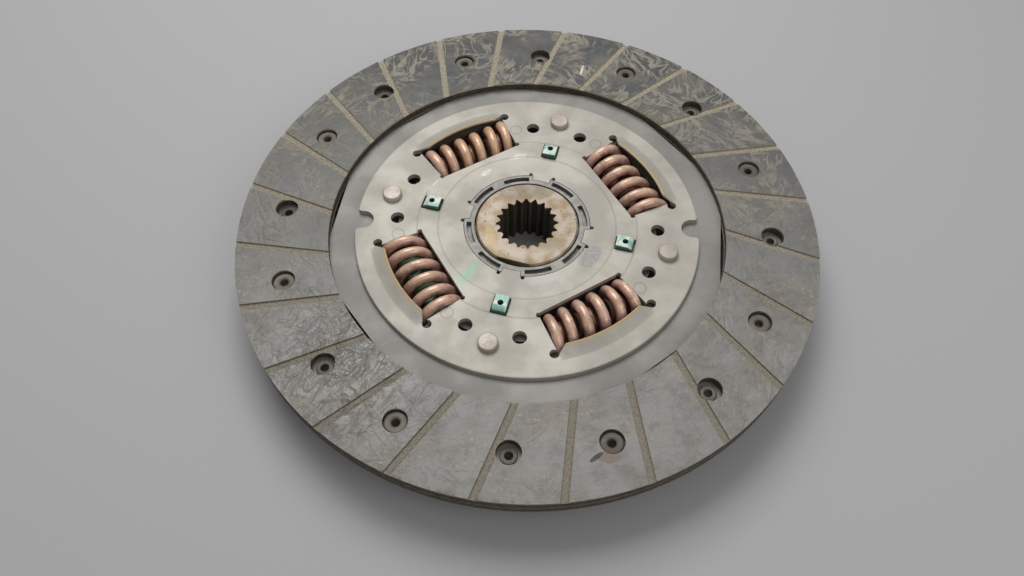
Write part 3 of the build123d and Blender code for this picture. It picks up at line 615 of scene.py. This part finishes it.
def softened(node, body, finish, radius=0.2, segments=2):
    """A copy of a frame piece with its edges rounded by radius mm."""
    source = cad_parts[node]
    piece = source.copy()
    piece.data = source.data.copy()
    piece.name = node + "_soft"
    piece.parent = None
    for key in list(piece.keys()):
        del piece[key]
    bpy.context.scene.collection.objects.link(piece)
    pick(piece)
    bpy.ops.object.mode_set(mode="EDIT")
    bpy.ops.mesh.select_all(action="SELECT")
    bpy.ops.mesh.remove_doubles(threshold=0.002 * mm)
    bpy.ops.mesh.dissolve_limited(angle_limit=math.radians(0.3))
    bpy.ops.object.mode_set(mode="OBJECT")
    if radius:
        bevel = piece.modifiers.new("round", "BEVEL")
        bevel.width = radius * mm
        bevel.segments = segments
        bevel.limit_method = "ANGLE"
        bevel.angle_limit = math.radians(30)
        bevel.use_clamp_overlap = True
        bpy.ops.object.modifier_apply(modifier=bevel.name)
    bpy.ops.object.shade_smooth_by_angle(angle=math.radians(40))
    weighted = piece.modifiers.new("even", "WEIGHTED_NORMAL")
    weighted.keep_sharp = True
    bpy.ops.object.modifier_apply(modifier=weighted.name)
    piece.data.materials.clear()
    piece.data.materials.append(finishes[finish])
    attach(piece, body)
    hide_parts(node)
    return piece


SOFT = [
    ("facing_top", "disc", "lining_top", 0.25),
    ("facing_bottom", "disc", "lining_bottom", 0.25),
    ("cover_plate_top", "disc", "plate", 0.25),
    ("cover_plate_bottom", "disc", "plate", 0.25),
    ("hub", "hub", "hub", 0.2),
    ("centring_bush", "disc", "grey_nylon", 0.15),
    ("lug_ring", "disc", "green_nylon", 0.2),
]
SOFT += [(f"stop_pin_{k}", "disc", "pin", 0.15) for k in range(1, 5)]
for node, body, finish, radius in SOFT:
    piece = softened(node, body, finish, radius)
    print(piece.name, len(piece.data.polygons), "faces")

# %% [markdown]
# ## The hub's broken edge
# One side of the hub's face has lost its edge, so the round face ends in a short straight
# line with a dark slope under it. A single slanted bisect cuts it, and its fill closes
# the slope.

# %% The hub's broken edge
BROKEN_AT = 255.0
BROKEN_REACH = 19.8
hub_face_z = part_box("hub")[1].z / mm
turn = math.radians(BROKEN_AT)
hub_soft = bpy.data.objects["hub_soft"]
pick(hub_soft)
bpy.ops.object.mode_set(mode="EDIT")
bpy.ops.mesh.select_all(action="SELECT")
bpy.ops.mesh.bisect(
    plane_co=(BROKEN_REACH * math.cos(turn) * mm, BROKEN_REACH * math.sin(turn) * mm, hub_face_z * mm),
    plane_no=(0.9 * math.cos(turn), 0.9 * math.sin(turn), 0.44),
    use_fill=True,
    clear_outer=True,
)
bpy.ops.object.mode_set(mode="OBJECT")
print("hub faces", len(hub_soft.data.polygons))

# %% Plain finishes for the pieces that stay as they are
KEPT = {
    "cushion_plate": "carrier",
    "drive_flange": "flange",
    "top_facing_rivets": "rivet",
    "bottom_facing_rivets": "rivet",
    "lower_bush": "grey_nylon",
    "diaphragm_spring": "washer",
    "pressure_washer": "washer",
    "friction_washer": "black_nylon",
}
for node, finish in KEPT.items():
    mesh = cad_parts[node].data
    mesh.materials.clear()
    mesh.materials.append(finishes[finish])
print("kept", len(KEPT))

# %% [markdown]
# ## Winding the springs
# A coil spring is a round wire wound on a mandrel, with its last turns closed up and
# ground flat so that it stands square in its window. The Screw modifier winds a circle
# into a coil of even pitch. Each point's turn number is then read back from its angle,
# and the turns are moved along the axis: close at the ends, open between. Two bisects
# grind the ends, and a last small fan lets them lie flat on the window's slanted ends.

# %% Winding the springs
SPRING_CENTRE = 49.6
SPRING_AXIS = 15.7
WINDOW_ANGLE = 32.0
WINDOW_INNER = 40.1
WINDOW_HALF = 18.65
FLARE = math.tan(math.radians(6.85))
SPRING_ROOM = 0.3
spring_half = WINDOW_HALF + (SPRING_CENTRE - WINDOW_INNER) * FLARE - SPRING_ROOM


def along(turn, turns, wire, half, closed=1.0):
    """How far along its axis the wire has come after some turns, closed up at both ends."""
    reach = half - 0.28 * wire
    tight = 1.03 * wire
    loose = (2 * reach - closed * tight) / (turns - closed)
    near = np.minimum(turn, turns - turn)
    share = np.clip(near / closed, 0, 1)
    eased = tight * near.clip(max=closed) + (loose - tight) * (share ** 3 - share ** 4 / 2) * closed
    step = eased + loose * (near - closed).clip(min=0)
    return np.where(turn <= turns / 2, step - reach, reach - step)


def wound(name, mean, wire, turns, half, fan, phase=0.0, sides=16, steps=30):
    """A coil about the local Y axis, its first turn starting at phase degrees."""
    take_all_off()
    pitch = 3.0 * wire
    bpy.ops.mesh.primitive_circle_add(
        vertices=sides, radius=wire / 2 * mm, location=(mean * mm, 0, 0), rotation=(math.pi / 2, 0, 0)
    )
    coil = bpy.context.object
    coil.name = name
    bpy.ops.object.transform_apply(location=True, rotation=True, scale=True)
    screw = coil.modifiers.new("wind", "SCREW")
    screw.axis = "Z"
    screw.angle = turns * 2 * math.pi
    screw.screw_offset = turns * pitch * mm
    screw.steps = screw.render_steps = int(turns * steps)
    bpy.ops.object.modifier_apply(modifier=screw.name)
    bpy.ops.object.mode_set(mode="EDIT")
    bpy.ops.mesh.select_all(action="DESELECT")
    bpy.ops.mesh.select_mode(type="EDGE")
    bpy.ops.mesh.select_non_manifold()
    bpy.ops.mesh.edge_face_add()
    bpy.ops.mesh.select_mode(type="FACE")
    bpy.ops.mesh.select_all(action="SELECT")
    bpy.ops.mesh.normals_make_consistent(inside=False)
    bpy.ops.object.mode_set(mode="OBJECT")

    points = np.array([v.co for v in coil.data.vertices]) / mm
    lapse = np.arctan2(points[:, 1], points[:, 0]) / (2 * math.pi)
    whole = np.round(points[:, 2] / pitch - lapse)
    turn = np.clip(lapse + whole, 0, turns)
    offset = points[:, 2] - turn * pitch
    radius = np.hypot(points[:, 0], points[:, 1])
    angle = turn * 2 * math.pi + math.radians(phase)
    place = np.stack(
        [radius * np.cos(angle), along(turn, turns, wire, half) + offset, radius * np.sin(angle)], axis=1
    )
    coil.data.vertices.foreach_set("co", (place * mm).ravel())
    coil.data.update()
    pick(coil)
    bpy.ops.object.mode_set(mode="EDIT")
    for side in (-1, 1):
        bpy.ops.mesh.select_all(action="SELECT")
        bpy.ops.mesh.bisect(
            plane_co=(0, side * half * mm, 0), plane_no=(0, side, 0), use_fill=True, clear_outer=True
        )
    bpy.ops.mesh.select_all(action="SELECT")
    bpy.ops.mesh.normals_make_consistent(inside=False)
    bpy.ops.object.mode_set(mode="OBJECT")
    for vertex in coil.data.vertices:
        vertex.co.y *= 1 + fan * vertex.co.x / mm
    bpy.ops.object.shade_smooth_by_angle(angle=math.radians(40))
    return coil


def placed(coil, circle, angle):
    """Moves a coil from its local frame to its place on a circle round the shaft."""
    pick(coil)
    turn = math.radians(angle)
    coil.rotation_euler = (0, 0, turn)
    coil.location = (circle * math.cos(turn) * mm, circle * math.sin(turn) * mm, SPRING_AXIS * mm)
    bpy.ops.object.transform_apply(location=True, rotation=True, scale=True)
    return coil


# %% The main, inner and idle springs
# kind: mean radius, wire, turns, half length, circle, first angle and
# how much of the length stays at full twist
COILS = {
    "damper_spring": (8.05, 4.3, 5.5, spring_half, SPRING_CENTRE, WINDOW_ANGLE, 0.705),
    "inner_spring": (4.5, 2.4, 8.5, spring_half, SPRING_CENTRE, WINDOW_ANGLE, 0.705),
    "idle_spring": (2.25, 0.9, 6.5, 5.0, 24.5, 77.0, 0.83),
}
for kind, (mean, wire, turns, half, circle, first, keep) in COILS.items():
    idle = kind == "idle_spring"
    body = "idle_springs" if idle else "damper_springs"
    for k in range(4):
        node = f"{kind}_{k + 1}"
        angle = first + 90 * k
        fan = FLARE / spring_half if circle == SPRING_CENTRE else 0.0
        coil = placed(wound(node + "_coil", mean, wire, turns, half, fan), circle, angle)
        finish = {"damper_spring": "lacquer", "inner_spring": "inner_shade_lacquer", "idle_spring": "wire"}[kind]
        if node == "inner_spring_3":
            finish = "green_lacquer"
        coil.data.materials.append(finishes[finish])
        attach(coil, body)
        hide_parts(node)
        turn = math.radians(angle)
        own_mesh(coil)
        print(node, len(coil.data.polygons), "faces")
